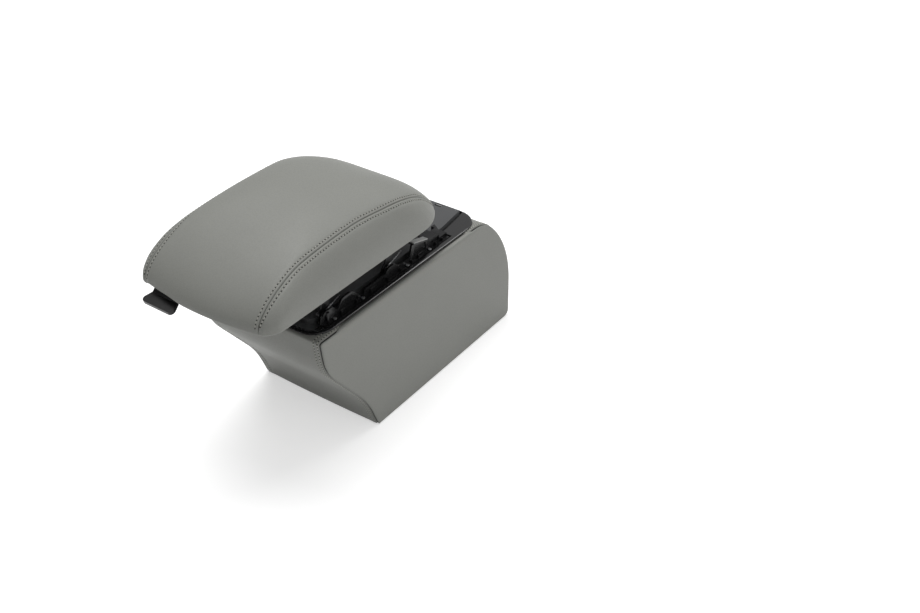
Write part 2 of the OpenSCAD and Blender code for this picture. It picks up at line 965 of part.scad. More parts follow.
module crown_prism(inset, z0, z1) {
    translate([0, 0, z0])
        linear_extrude(height = z1 - z0)
            polygon(rounded_outline(pad_corners(tray_in + inset, 22 + inset, 24 + inset)));
}

// Room for the paddle's neck in the lower edge of the pad
module neck_notch() {
    half = paddle_neck_w / 2 + 2;
    block(-paddle_x - half, -paddle_x + half, -pad_front - 30, paddle_pivot[0] - 9, pad_z - 1, tray_z + 1.3);
}

skirt_top = tray_z + 8.5;

module pad_foam() {
    color(foam_colour)
        difference() {
            pad_form(cover_t, tray_z);
            skirt_prism(0, tray_z - 1, skirt_top);
            crown_prism(0, skirt_top - 1, tray_ceiling + tray_t);
            neck_notch();
        }
}

lug_t = 2;
lug_x = [-paddle_x - paddle_boss_w / 2 - lug_t - 0.5, -paddle_x + paddle_boss_w / 2 + 0.5];

module pad_tray() {
    color(black_plastic)
        difference() {
            union() {
                difference() {
                    union() {
                        skirt_prism(0, tray_z, skirt_top);
                        crown_prism(0, skirt_top - 1, tray_ceiling + tray_t);
                    }
                    skirt_prism(tray_t, tray_z - 1, skirt_top - tray_t);
                    crown_prism(tray_t, skirt_top - tray_t - 1, tray_ceiling);
                }
                for (y = [-222, -190, -20])
                    block(-40, 40, y - 1, y + 1, tray_ceiling - 3.5, tray_ceiling + 1);
                // lugs for the paddle's pin
                for (x = lug_x) {
                    block(x, x + lug_t, paddle_pivot[0] - 5, paddle_pivot[0] + 5, paddle_pivot[1], tray_ceiling + 1);
                    x_cylinder(5, x, x + lug_t, paddle_pivot[0], paddle_pivot[1]);
                }
            }
            x_cylinder(paddle_pin_r, -80, 0, paddle_pivot[0], paddle_pivot[1]);
            neck_notch();
            for (y = runner_screw_y, x = [-54.5, 54.5])
                translate([x, y, tray_ceiling - 1])
                    cylinder(r = 1.6, h = 2);
        }
}

// C-shaped runner: its slot holds the edge of the slide plate
module runner() {
    slot_gap = 0.3;
    color("#2b2b2c")
        difference() {
            union() {
                block(42, 51, runner_front, runner_rear, slide_z - 2.2, tray_ceiling);
                block(50, 57, runner_front, runner_rear, tray_ceiling - 2.5, tray_ceiling);
            }
            block(
                41, slide_half_w + slot_gap,
                runner_front - 1, runner_rear + 1,
                slide_z - slot_gap, slide_z + slide_t + slot_gap
            );
            for (y = runner_screw_y)
                translate([54.5, y, 0])
                    cylinder(r = 1.6, h = 400);
        }
}

runner_screw_y = [-205, -120, -38];

module runner_right() {
    runner();
}

module runner_left() {
    mirror([1, 0, 0])
        runner();
}

module runner_screws() {
    color(steel)
        both_sides()
            for (y = runner_screw_y)
                translate([54.5, y, tray_ceiling - 2.5 - 1.2]) {
                    cylinder(r = 2.2, h = 1.2);
                    cylinder(r = 1.6, h = 3.7);
                }
}

// Release paddle

paddle_neck_side = rounded_outline([
    [-252.5, 217.5, 1, 2],
    [-264, 209.2, 2, 3],
    [-277.5, 209.2, 2, 3],
    [-282, 205, 1, 2],
    [-282, 201.5, 1, 2],
    [-277, 206, 2, 3],
    [-260, 206, 2, 3],
    [-245, 216, 1, 2]
]);

// Neck between the finger plate and the pivot boss, broad outside the pad and narrow inside it
module paddle_neck() {
    inside_y = -258;
    difference() {
        intersection() {
            along_x(-paddle_x - paddle_neck_w / 2, -paddle_x + paddle_neck_w / 2)
                polygon(paddle_neck_side);
            union() {
                block(-paddle_x - 30, -paddle_x + 30, -300, inside_y, 190, 230);
                block(
                    -paddle_x - paddle_boss_w / 2, -paddle_x + paddle_boss_w / 2,
                    inside_y - 1, paddle_pivot[0] + over, 190, 230
                );
            }
        }
        // light slits between the neck's ribs
        for (x = [-9, -3, 3, 9])
            block(-paddle_x + x - 1.1, -paddle_x + x + 1.1, -276, -266, 200, 214);
    }
}

module release_paddle() {
    tilt = 16;
    color(black_plastic)
        difference() {
            union() {
                translate([-paddle_x, -279, 203])
                    rotate([tilt, 0, 0])
                        translate([0, -paddle_d, -paddle_t / 2])
                            linear_extrude(height = paddle_t)
                                polygon(rounded_outline([
                                    [paddle_w / 2, 0, 4.5, 6],
                                    [paddle_neck_w / 2, paddle_d, 2, 3],
                                    [-paddle_neck_w / 2, paddle_d, 2, 3],
                                    [-paddle_w / 2, 0, 4.5, 6]
                                ]));
                paddle_neck();
                x_cylinder(
                    4.5, -paddle_x - paddle_boss_w / 2, -paddle_x + paddle_boss_w / 2,
                    paddle_pivot[0], paddle_pivot[1]
                );
                // finger that pushes the lock's plunger
                block(
                    -paddle_x - 4, -paddle_x + 4,
                    paddle_pivot[0] - 1.5, paddle_pivot[0] + 4.2,
                    paddle_pivot[1], paddle_pivot[1] + 9
                );
            }
            x_cylinder(paddle_pin_r + run_gap, -80, 0, paddle_pivot[0], paddle_pivot[1]);
        }
}

module paddle_pin() {
    color(steel)
        x_cylinder(paddle_pin_r, lug_x[0] - 0.2, lug_x[1] + 8, paddle_pivot[0], paddle_pivot[1]);
}

module paddle_spring() {
    wire_r = 0.5;
    coil_r = 2.7;
    steps = 10;
    first = lug_x[1] + lug_t + 0.8;
    coil = [
        for (i = [0:3 * steps])
            [
                first + 1.15 * i / steps,
                paddle_pivot[0] + coil_r * cos(90 - 360 * i / steps),
                paddle_pivot[1] + coil_r * sin(90 - 360 * i / steps)
            ]
    ];
    color(steel)
        wire(
            concat([[first, paddle_pivot[0] - 9, paddle_pivot[1] + 2.9]], coil),
            wire_r
        );
}

lock_y = [-238, -214];

module lock_housing() {
    color("#2b2b2c")
        difference() {
            block(
                -paddle_x - 7, -paddle_x + 7, lock_y[0], lock_y[1],
                paddle_pivot[1] + 1, tray_ceiling
            );
            translate([-paddle_x, lock_y[0] - 1, paddle_pivot[1] + 6])
                rotate([-90, 0, 0])
                    cylinder(r = 2 + run_gap, h = 18);
        }
}

module lock_plunger() {
    color(steel)
        translate([-paddle_x, 0, paddle_pivot[1] + 6])
            rotate([-90, 0, 0]) {
                translate([0, 0, lock_y[0] - 2])
                    cylinder(r = 2, h = 16);
                translate([0, 0, lock_y[0] - 6.5])
                    cylinder(r = 3, h = 4.5);
            }
}

box_shell();
base_plate();
base_screws();
floor_mat();
side_cover_left();
side_cover_right();
front_cover();
rear_cover();
top_rim();
hinge_pin();
lid_base();
lid_bumpers();
arm_bracket_left();
arm_bracket_right();
stop_pads();
bracket_screws();
pivot_pins();
lift_springs();
front_arm();
rear_arm();
slide_plate();
front_rod();
rear_rod();
pad_tray();
runner_left();
runner_right();
runner_screws();
pad_foam();
pad_cover_top();
pad_cover_left();
pad_cover_right();
paddle_pin();
paddle_spring();
lock_housing();
release_paddle();
lock_plunger();
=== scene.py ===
"""Looks for a leather-covered car armrest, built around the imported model."""
import math

import bmesh
import bpy
from mathutils import Matrix, Vector
from mathutils.bvhtree import BVHTree


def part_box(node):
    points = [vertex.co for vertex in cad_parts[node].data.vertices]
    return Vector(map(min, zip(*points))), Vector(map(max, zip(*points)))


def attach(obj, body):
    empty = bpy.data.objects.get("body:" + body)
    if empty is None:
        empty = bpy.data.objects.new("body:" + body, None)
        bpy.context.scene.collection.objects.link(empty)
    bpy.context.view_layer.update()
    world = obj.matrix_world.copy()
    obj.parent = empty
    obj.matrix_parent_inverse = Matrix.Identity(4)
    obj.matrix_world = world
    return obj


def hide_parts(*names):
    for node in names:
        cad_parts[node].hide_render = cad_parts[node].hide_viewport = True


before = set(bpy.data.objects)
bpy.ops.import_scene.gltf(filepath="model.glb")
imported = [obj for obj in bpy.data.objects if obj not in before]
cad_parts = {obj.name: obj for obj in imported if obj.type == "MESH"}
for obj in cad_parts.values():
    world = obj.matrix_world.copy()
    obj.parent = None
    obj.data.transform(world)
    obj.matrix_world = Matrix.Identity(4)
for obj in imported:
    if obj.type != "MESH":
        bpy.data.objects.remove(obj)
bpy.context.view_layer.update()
scene = bpy.context.scene
scene.view_settings.view_transform = "Standard"
MM = 0.001


# Base plate: the ribbed floor of the box, injection moulded in black ABS and screwed up into
# posts in the box. Four holes in it take the bolts that hold the armrest to the car.

def linear(hex_colour):
    """Turns an sRGB hex colour into the linear values that a shader takes."""
    values = [int(hex_colour[i:i + 2], 16) / 255 for i in (1, 3, 5)]
    return [v / 12.92 if v <= 0.04045 else ((v + 0.055) / 1.055) ** 2.4 for v in values] + [1.0]


def add_node(tree, kind, settings=None, **inputs):
    """Adds a node, sets its properties, and links or fills its inputs. An input is given by its
    name with underscores for spaces, or by i and its number."""
    new = tree.nodes.new(kind)
    for key, value in (settings or {}).items():
        setattr(new, key, value)
    for key, value in inputs.items():
        name = key.replace("_", " ")
        socket = new.inputs[int(name[1:])] if name[0] == "i" and name[1:].isdigit() else new.inputs[name]
        if isinstance(value, bpy.types.NodeSocket):
            tree.links.new(value, socket)
        else:
            socket.default_value = value
    return new


def new_material(name):
    """Makes an empty material and returns it with its tree, its shader and object coordinates."""
    material = bpy.data.materials.new(name)
    material.use_nodes = True
    tree = material.node_tree
    shader = tree.nodes["Principled BSDF"]
    place = add_node(tree, "ShaderNodeTexCoord").outputs["Object"]
    return material, tree, shader, place


def tint_with(tree, shader, colour, amount):
    """Gives the shader a colour that a varying amount makes darker and lighter."""
    mixed = add_node(
        tree, "ShaderNodeMix", {"data_type": "RGBA", "blend_type": "MULTIPLY"},
        Factor=1.0, i6=linear(colour), i7=amount,
    )
    tree.links.new(mixed.outputs[2], shader.inputs["Base Color"])


def blend_with(tree, shader, dark, light, amount):
    """Gives the shader a colour between a dark and a light one, by a varying amount."""
    mixed = add_node(
        tree, "ShaderNodeMix", {"data_type": "RGBA"}, Factor=amount, i6=linear(dark), i7=linear(light)
    )
    tree.links.new(mixed.outputs[2], shader.inputs["Base Color"])


def moulded_plastic(name, colour, roughness, grain_mm, depth_mm):
    """Injection-moulded plastic: a spark-eroded texture in the tool gives a fine even grain, so the
    sheen is soft, and handling leaves it slightly uneven."""
    material, tree, shader, place = new_material(name)
    grain = add_node(tree, "ShaderNodeTexNoise", Vector=place, Scale=1 / (grain_mm * MM), Detail=3.0)
    wear = add_node(tree, "ShaderNodeTexNoise", Vector=place, Scale=22.0, Detail=4.0)
    tint = add_node(tree, "ShaderNodeMapRange", Value=wear.outputs["Fac"], To_Min=0.82, To_Max=1.2)
    rough = add_node(
        tree, "ShaderNodeMapRange", Value=wear.outputs["Fac"],
        To_Min=roughness - 0.06, To_Max=roughness + 0.08,
    )
    bump = add_node(
        tree, "ShaderNodeBump", Height=grain.outputs["Fac"], Strength=0.5, Distance=depth_mm * MM
    )
    tint_with(tree, shader, colour, tint.outputs["Result"])
    tree.links.new(rough.outputs["Result"], shader.inputs["Roughness"])
    tree.links.new(bump.outputs["Normal"], shader.inputs["Normal"])
    shader.inputs["IOR"].default_value = 1.5
    shader.inputs["Specular IOR Level"].default_value = 0.35
    return material


def finish_nodes(names, material):
    """Gives CAD nodes their material."""
    for name in names:
        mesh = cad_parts[name].data
        mesh.materials.clear()
        mesh.materials.append(material)


def softened_copy(name, node, body, material, edge_mm=0.4, angle=35):
    """A merged copy of a CAD node, shaded smooth over its curves and broken at its edges by the
    small radius that a tool leaves."""
    source = bmesh.new()
    source.from_mesh(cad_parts[node].data)
    bmesh.ops.remove_doubles(source, verts=source.verts, dist=2e-6)
    bmesh.ops.dissolve_limit(
        source, angle_limit=math.radians(0.5), verts=source.verts, edges=source.edges
    )
    for face in source.faces:
        face.smooth = True
    mesh = bpy.data.meshes.new(name)
    source.to_mesh(mesh)
    source.free()
    mesh.materials.append(material)
    mesh.set_sharp_from_angle(angle=math.radians(angle))
    piece = bpy.data.objects.new(name, mesh)
    scene.collection.objects.link(piece)
    if edge_mm:
        bevel = piece.modifiers.new("edges", "BEVEL")
        bevel.width = edge_mm * MM
        bevel.segments = 2
        bevel.limit_method = "ANGLE"
        bevel.angle_limit = math.radians(angle)
        bevel.use_clamp_overlap = True
        bevel.harden_normals = True
    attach(piece, body)
    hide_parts(node)
    return piece


black_abs = moulded_plastic(
    "Black ABS, spark-eroded texture", "#1b1b1c", roughness=0.5, grain_mm=0.5, depth_mm=0.06
)
finish_nodes(["base_plate"], black_abs)


# Box: one moulded ABS bin, open at the top under the lid. Its outside is the backing that the
# leather is glued to, so only its inside and its mouth are seen.

finish_nodes(["box_shell"], black_abs)


# Zinc-plated screws and pins: steel with a thin bright plating, slightly cloudy.

def plated_steel(name, colour, roughness):
    """Zinc plating over steel: a pale metal whose crystals give it a faint mottle."""
    material, tree, shader, place = new_material(name)
    mottle = add_node(tree, "ShaderNodeTexNoise", Vector=place, Scale=900.0, Detail=3.0)
    tint = add_node(tree, "ShaderNodeMapRange", Value=mottle.outputs["Fac"], To_Min=0.85, To_Max=1.1)
    rough = add_node(
        tree, "ShaderNodeMapRange", Value=mottle.outputs["Fac"],
        To_Min=roughness - 0.05, To_Max=roughness + 0.1,
    )
    tint_with(tree, shader, colour, tint.outputs["Result"])
    tree.links.new(rough.outputs["Result"], shader.inputs["Roughness"])
    shader.inputs["Metallic"].default_value = 1.0
    return material


zinc_steel = plated_steel("Zinc-plated steel", "#c9cacb", roughness=0.32)
for node, body in (("base_screws", "box"), ("hinge_pin", "box"), ("bracket_screws", "lid"),
                   ("pivot_pins", "lid"), ("front_rod", "slide"), ("rear_rod", "slide"),
                   ("runner_screws", "pad"), ("paddle_pin", "pad"), ("lock_plunger", "lock")):
    softened_copy("bright_" + node, node, body, zinc_steel, edge_mm=0.2)


# Floor mat: a die-cut sheet of black needle felt laid on the ribs of the base plate.

def needle_felt(name):
    """Needle felt: short fibres matted together, so it is dull, with a fuzzy irregular surface."""
    material, tree, shader, place = new_material(name)
    fibre = add_node(tree, "ShaderNodeTexNoise", Vector=place, Scale=1800.0, Detail=6.0, Roughness=0.8)
    bump = add_node(tree, "ShaderNodeBump", Height=fibre.outputs["Fac"], Strength=0.9, Distance=0.4 * MM)
    blend_with(tree, shader, "#141415", "#39393b", fibre.outputs["Fac"])
    tree.links.new(bump.outputs["Normal"], shader.inputs["Normal"])
    shader.inputs["Roughness"].default_value = 0.95
    shader.inputs["Sheen Weight"].default_value = 0.4
    return material


finish_nodes(["floor_mat"], needle_felt("Black needle felt"))


# Side panels of the box: grey synthetic leather over a thin foam backing, cut to the box's side
# outline. Each panel is rolled at its edge into the seam, and turned in over the box's top edge.

def synthetic_leather(name, colour):
    """Polyurethane leather: a fine pressed grain of rounded cells and a satin top coat, which
    catches the light softly where it bends."""
    material, tree, shader, place = new_material(name)
    cells = add_node(
        tree, "ShaderNodeTexVoronoi", {"feature": "F1"},
        Vector=place, Scale=1 / (1.3 * MM), Randomness=1.0,
    )
    pores = add_node(
        tree, "ShaderNodeTexNoise", Vector=place, Scale=1 / (0.6 * MM), Detail=4.0, Roughness=0.6
    )
    hide = add_node(
        tree, "ShaderNodeTexNoise", Vector=place, Scale=1 / (55 * MM), Detail=3.0, Roughness=0.5
    )
    height = add_node(
        tree, "ShaderNodeMath", {"operation": "MULTIPLY_ADD"},
        i0=pores.outputs["Fac"], i1=0.5, i2=cells.outputs["Distance"],
    )
    relief = add_node(
        tree, "ShaderNodeBump", Height=height.outputs[0], Strength=0.28, Distance=0.12 * MM
    )
    slack = add_node(
        tree, "ShaderNodeBump", Height=hide.outputs["Fac"], Strength=0.35, Distance=1.2 * MM,
        Normal=relief.outputs["Normal"],
    )
    tone = add_node(tree, "ShaderNodeMapRange", Value=hide.outputs["Fac"], To_Min=0.95, To_Max=1.05)
    grain = add_node(tree, "ShaderNodeMapRange", Value=height.outputs[0], To_Min=1.03, To_Max=0.93)
    both = add_node(
        tree, "ShaderNodeMath", {"operation": "MULTIPLY"},
        i0=tone.outputs["Result"], i1=grain.outputs["Result"],
    )
    rough = add_node(tree, "ShaderNodeMapRange", Value=height.outputs[0], To_Min=0.42, To_Max=0.56)
    tint_with(tree, shader, colour, both.outputs[0])
    tree.links.new(rough.outputs["Result"], shader.inputs["Roughness"])
    tree.links.new(slack.outputs["Normal"], shader.inputs["Normal"])
    shader.inputs["IOR"].default_value = 1.48
    shader.inputs["Specular IOR Level"].default_value = 0.42
    return material


def flat_shape(obj_name, bm, material, body, slot, *replaced):
    """Turns a finished bmesh into a smooth piece that rides on a body."""
    bmesh.ops.recalc_face_normals(bm, faces=bm.faces)
    for face in bm.faces:
        face.smooth = True
    mesh = bpy.data.meshes.new(obj_name)
    bm.to_mesh(mesh)
    bm.free()
    mesh.materials.append(material)
    piece = bpy.data.objects.new(obj_name, mesh)
    scene.collection.objects.link(piece)
    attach(piece, body)
    if replaced:
        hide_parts(*replaced)
    return piece


def corner_ways(corners, i):
    """The place of a corner (a, b, radius) and the directions to the corners on both sides."""
    here = Vector(corners[i][:2])
    to_last = (Vector(corners[i - 1][:2]) - here).normalized()
    to_next = (Vector(corners[(i + 1) % len(corners)][:2]) - here).normalized()
    return here, to_last, to_next


def arcs_at(corners, steps):
    """The arc at each corner of a closed outline, each in its number of steps."""
    arcs = []
    for i, corner in enumerate(corners):
        radius = corner[2]
        here, to_last, to_next = corner_ways(corners, i)
        half = to_last.angle(to_next) / 2
        centre = here + (to_last + to_next).normalized() * radius / math.sin(half)
        first = here + to_last * radius / math.tan(half) - centre
        turn = to_last.x * to_next.y - to_last.y * to_next.x
        sweep = -math.copysign(math.pi - 2 * half, turn)
        angles = [sweep * k / steps[i] for k in range(steps[i] + 1)]
        arcs.append([centre + Matrix.Rotation(angle, 2) @ first for angle in angles])
    return arcs


def outline_ring(corners, arc_steps, run_steps):
    """Closed outline with rounded corners, which always has the same number of points."""
    arcs = arcs_at(corners, arc_steps)
    ring = []
    for arc, following, steps in zip(arcs, arcs[1:] + arcs[:1], run_steps):
        ring += arc
        ring += [arc[-1].lerp(following[0], k / steps) for k in range(1, steps)]
    return ring


def inset_corners(corners, inset):
    """Corners of the outline that runs parallel to a given one, further in by inset."""
    least_radius = 0.3
    moved = []
    for i, corner in enumerate(corners):
        here, to_last, to_next = corner_ways(corners, i)
        outer = -math.copysign(1, to_last.x * to_next.y - to_last.y * to_next.x)
        half = to_last.angle(to_next) / 2
        place = here + (to_last + to_next).normalized() * outer * inset / math.sin(half)
        moved.append((place.x, place.y, max(corner[2] - outer * inset, least_radius)))
    return moved


panel_low, panel_high = (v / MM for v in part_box("side_cover_right"))
half_w = panel_high.x
box_h = panel_high.z
cover_t = 1.5
# Corners of the box's outline from its side: y, z and radius.
box_corners = [
    (-130.0, 0.0, 1.5),
    (panel_high.y, 0.0, 9.0),
    (panel_high.y, 107.0, 134.0),
    (78.2, box_h, 48.0),
    (panel_low.y, box_h, 3.0),
    (-206.2, 119.6, 68.0),
    (-145.1, 40.8, 154.0),
]
box_arc_steps = [3, 6, 16, 12, 4, 14, 18]
box_run_steps = [20, 6, 3, 48, 4, 3, 5]


def box_ring(inset):
    """The box seen from its side, in (y, z), pulled in by inset."""
    return outline_ring(inset_corners(box_corners, inset), box_arc_steps, box_run_steps)


seam_x = half_w - cover_t
# How far in from the outline and how far out of the seam's plane each ring of a panel lies:
# where it is rolled into the seam, and where it is folded over the top edge.
panel_roll = [(4.5, -1.0), (3.2, -0.5), (2.0, -0.3), (1.1, -0.1), (0.8, 0.4), (1.0, 1.05),
              (1.7, 1.5), (3.0, 1.68), (5.0, 1.7), (8.0, 1.6)]
panel_fold = [(1.4, -8.5), (1.4, -5.0), (0.9, -4.0), (0.0, -3.0), (-0.12, -1.4), (0.3, 0.6),
              (1.2, 1.4), (2.8, 1.66), (5.0, 1.7), (8.0, 1.6)]
grey_leather = synthetic_leather("Grey polyurethane leather", "#8a8b86")
# The panels are folded over the top edge between these places, down to this depth.
fold_front = -180.0
fold_rear = 48.0
fold_depth = 5.0


def side_panel(name, side, node):
    """A flat panel whose edge is rolled into the seam, and folded over the top edge of the box."""
    bm = bmesh.new()
    loops = []
    for (roll_in, roll_out), (fold_in, fold_out) in zip(panel_roll, panel_fold):
        ring = []
        for rolled, folded in zip(box_ring(roll_in), box_ring(fold_in)):
            folds = fold_front < rolled.x < fold_rear and rolled.y > box_h - fold_depth
            p, out = (folded, fold_out) if folds else (rolled, roll_out)
            ring.append(bm.verts.new((side * (seam_x + out), p.x, p.y)))
        loops.append([bm.edges.new((a, b)) for a, b in zip(ring, ring[1:] + ring[:1])])
    for a, b in zip(loops, loops[1:]):
        bmesh.ops.bridge_loops(bm, edges=a + b)
    face = bmesh.ops.contextual_create(bm, geom=loops[-1])["faces"]
    bmesh.ops.triangulate(bm, faces=face, quad_method="BEAUTY", ngon_method="BEAUTY")
    bmesh.ops.transform(bm, matrix=Matrix.Scale(MM, 4), verts=bm.verts)
    return flat_shape(name, bm, grey_leather, "box", "grey_leather", node)


side_panel("box_side_panel_right", 1, "side_cover_right")
side_panel("box_side_panel_left", -1, "side_cover_left")


# Gussets of the box: one strip of the same leather down the front and one down the rear,
# between the side panels. Beside each seam run two rows of top-stitching.

gusset_rows = [3.8, 8.8]
# Distance from the seam's plane and depth under the outline of each column at a gusset's edge.
# The leather dips under both rows of stitches and swells between them.
edge_roll = [(1.4, 4.5), (1.7, 3.2), (1.8, 2.0), (1.9, 1.1), (2.05, 0.5), (2.4, 0.08), (2.9, -0.1),
             (3.4, -0.02), (3.8, 0.12), (4.2, -0.02), (5.2, -0.14), (6.4, -0.15), (7.6, -0.12),
             (8.4, -0.02), (8.8, 0.12), (9.2, -0.02), (10.0, -0.05), (12.5, 0.0)]


def under_rim(x, y, margin):
    """Whether a place on top of the box lies inside the rim's outline by more than a margin."""
    rim_low, rim_high = (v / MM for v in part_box("top_rim"))
    corner_radius = 25.0
    middle = (rim_low.y + rim_high.y) / 2
    beyond_x = max(0.0, abs(x) - (rim_high.x - corner_radius))
    beyond_y = max(0.0, abs(y - middle) - (rim_high.y - middle - corner_radius))
    return math.hypot(beyond_x, beyond_y) < corner_radius - margin


def gusset(name, line, bulge, node):
    """A strip of leather along a line of (point, inward) pairs, rolled down at both seams."""
    steps_across = 14
    inner_half = seam_x - edge_roll[-1][0]
    columns = [(seam_x - d, inset) for d, inset in edge_roll]
    columns += [(inner_half * (1 - 2 * k / steps_across), 0.0) for k in range(1, steps_across)]
    columns += [(-x, inset) for x, inset in reversed(columns[:len(edge_roll)])]
    bm = bmesh.new()
    loops = []
    for point, inner in line:
        row = []
        for x, inset in columns:
            swell = bulge * max(0.0, 1 - (x / inner_half) ** 2)
            p = point + inner * (inset - swell)
            row.append(bm.verts.new((x, p.x, p.y)))
        loops.append([bm.edges.new((a, b)) for a, b in zip(row, row[1:])])
    for a, b in zip(loops, loops[1:]):
        bmesh.ops.bridge_loops(bm, edges=a + b)
    covered = []
    for face in bm.faces:
        c = face.calc_center_median()
        if c.z > box_h - 1 and under_rim(c.x, c.y, margin=5.0):
            covered.append(face)
    bmesh.ops.delete(bm, geom=covered, context="FACES")
    bmesh.ops.transform(bm, matrix=Matrix.Scale(MM, 4), verts=bm.verts)
    return flat_shape(name, bm, grey_leather, "box", "grey_leather", node)


box_edge = [(p, q - p) for p, q in zip(box_ring(0.0), box_ring(1.0))]
arc_starts = [sum(box_arc_steps[:i]) + sum(box_run_steps[:i]) for i in range(len(box_corners))]
top_run = box_edge[arc_starts[3] + box_arc_steps[3]:arc_starts[4]]
# On top the gussets run on a little under the folded panels. The rear one starts at the third
# step of the rear foot's arc.
overlap = 8.0
foot_steps = 3
front_line = [pair for pair in top_run if pair[0].x < fold_front + overlap]
front_line += box_edge[arc_starts[4]:] + box_edge[:2]
rear_line = box_edge[arc_starts[1] + foot_steps:arc_starts[3] + box_arc_steps[3]]
rear_line += [pair for pair in top_run if pair[0].x > fold_rear - overlap]
gusset("box_front_gusset", front_line, bulge=0.8, node="front_cover")
gusset("box_rear_gusset", rear_line, bulge=0.3, node="rear_cover")


# Sewing thread: bonded polyester, laid in even stitches, each in its own shallow bite between two needle
# holes.
# The needle holes are dark beads of painted shade.

def thread_material(name, colour):
    """Twisted polyester thread, with a dull sheen and painted shade in the grooves between its plies:
    diagonal bands of darker colour.
    """
    material, tree, shader, place = new_material(name)
    # Painted shade: diagonal bands darken the thread where the grooves between its plies would lie in
    # shade.
    ply_groove_shade = add_node(
        tree, "ShaderNodeTexWave", {"bands_direction": "DIAGONAL"}, Vector=place, Scale=1 / (0.9 * MM) / 3
    )
    tint = add_node(tree, "ShaderNodeMapRange", Value=ply_groove_shade.outputs["Fac"], To_Min=0.8, To_Max=1.1)
    tint_with(tree, shader, colour, tint.outputs["Result"])
    shader.inputs["Roughness"].default_value = 0.6
    return material


def needle_hole_shade_material(name):
    """Painted shade for the bite of a stitch: a dark mark where the leather is pushed in and no light
    reaches.
    """
    material, tree, shader, place = new_material(name)
    pit = add_node(tree, "ShaderNodeTexNoise", Vector=place, Scale=1500.0)
    blend_with(tree, shader, "#171715", "#2b2b28", pit.outputs["Fac"])
    shader.inputs["Roughness"].default_value = 0.9
    return material


stitch_pitch = 3.9
stitch_l = 2.6
thread_r = 0.5
flattened = 0.8
hole_l = 2.0
hole_w = 1.9
hole_h = 0.16
thread_lift = 0.2
hole_lift = 0.06
# The needle holes are not cut: each is a near-black bead of painted shade laid on the leather.
needle_hole_shade = needle_hole_shade_material("Painted shade of needle hole")


def bead(name, half_l, half_w, height, rings, index):
    """A small flattened ball in mm, which a row of stitches repeats, with its material's index."""
    ball = bmesh.new()
    size = Matrix.Diagonal((half_l, half_w, height, 1.0))
    bmesh.ops.create_uvsphere(ball, u_segments=8, v_segments=rings, radius=1.0, matrix=size)
    for face in ball.faces:
        face.material_index = index
    mesh = bpy.data.meshes.new(name)
    ball.to_mesh(mesh)
    ball.free()
    return mesh


stitch_bead = bead("one stitch", stitch_l / 2, thread_r, thread_r * flattened, rings=6, index=0)
# Painted shade: a flat dark bead stands for the needle hole where no light reaches.
hole_shade_bead = bead("one needle hole shade", hole_l / 2, hole_w / 2, hole_h, rings=4, index=1)


def stitch_row(bm, points, normals):
    """Adds stitches at points in mm on a surface, half a pitch apart: by turns thread and a dark bead of
    painted shade for the hole.
    """
    for k in range(1, len(points) - 1):
        normal = normals[k]
        side = normal.cross(points[k + 1] - points[k - 1]).normalized()
        turn = Matrix((side.cross(normal), side, normal)).transposed().to_4x4()
        hole = k % 2
        centre = points[k] + normal * (hole_lift if hole else thread_lift)
        copy = (hole_shade_bead if hole else stitch_bead).copy()
        copy.transform(Matrix.Translation(centre) @ turn)
        bm.from_mesh(copy)
        bpy.data.meshes.remove(copy)


def evenly(points, step):
    """Points along a line at an even spacing of about step."""
    lengths = [(b - a).length for a, b in zip(points, points[1:])]
    total = sum(lengths)
    count = round(total / step)
    out = []
    at = 0
    passed = 0.0
    for k in range(count + 1):
        goal = total * k / count
        while at < len(lengths) - 1 and passed + lengths[at] < goal:
            passed += lengths[at]
            at += 1
        part = (goal - passed) / max(lengths[at], 1e-9)
        out.append(points[at].lerp(points[at + 1], min(max(part, 0), 1)))
    return out


def sewn_piece(name, bm, thread, body):
    """Turns rows of stitches into a piece: thread in its first material, the painted shade of the holes
    in its second.
    """
    bmesh.ops.transform(bm, matrix=Matrix.Scale(MM, 4), verts=bm.verts)
    piece = flat_shape(name, bm, thread, body, "grey_leather")
    piece.data.materials.append(needle_hole_shade)
    return piece


pale_thread = thread_material("Pale grey bonded thread", "#b4b4ab")


def sewn_line(line, row, side):
    """Places half a pitch apart along a gusset beside one of its seams, and their normals."""
    lowest = 4.0
    deepen = dict(edge_roll)[row]
    sewn = [(p + n * deepen, n) for p, n in line if p.y > lowest]
    path = [Vector((side * (seam_x - row), p.x, p.y)) for p, n in sewn]
    facing = [Vector((0, -n.x, -n.y)) for p, n in sewn]
    points = evenly(path, stitch_pitch / 2)
    normals = []
    for point in points:
        near = min(range(len(path)), key=lambda i: (path[i] - point).length)
        normals.append(facing[near])
    return points, normals


for side, side_name in ((1, "right"), (-1, "left")):
    sewing = bmesh.new()
    for row in gusset_rows:
        for line in (front_line, rear_line):
            stitch_row(sewing, *sewn_line(line, row, side))
    sewn_piece("box_top_stitching_" + side_name, sewing, pale_thread, "box")


# Rim: the moulded ABS frame round the box's mouth. Its lip traps the edge of the leather, and
# two ears at its rear carry the lid's hinge pin.

satin_abs = moulded_plastic("Black ABS, satin", "#161617", roughness=0.2, grain_mm=0.35, depth_mm=0.01)
satin_abs.node_tree.nodes["Principled BSDF"].inputs["Specular IOR Level"].default_value = 0.9
softened_copy("mouth_rim", "top_rim", "box", satin_abs, edge_mm=0.5)


# Lid: a moulded ABS tray with a raised middle, which closes the box and carries the arms.
# Rubber buffers under it keep it from rattling on the rim.

grey_abs = moulded_plastic(
    "Dark grey ABS, fine texture", "#505152", roughness=0.5, grain_mm=0.45, depth_mm=0.05
)
softened_copy("box_lid", "lid_base", "lid", grey_abs, edge_mm=0.8)


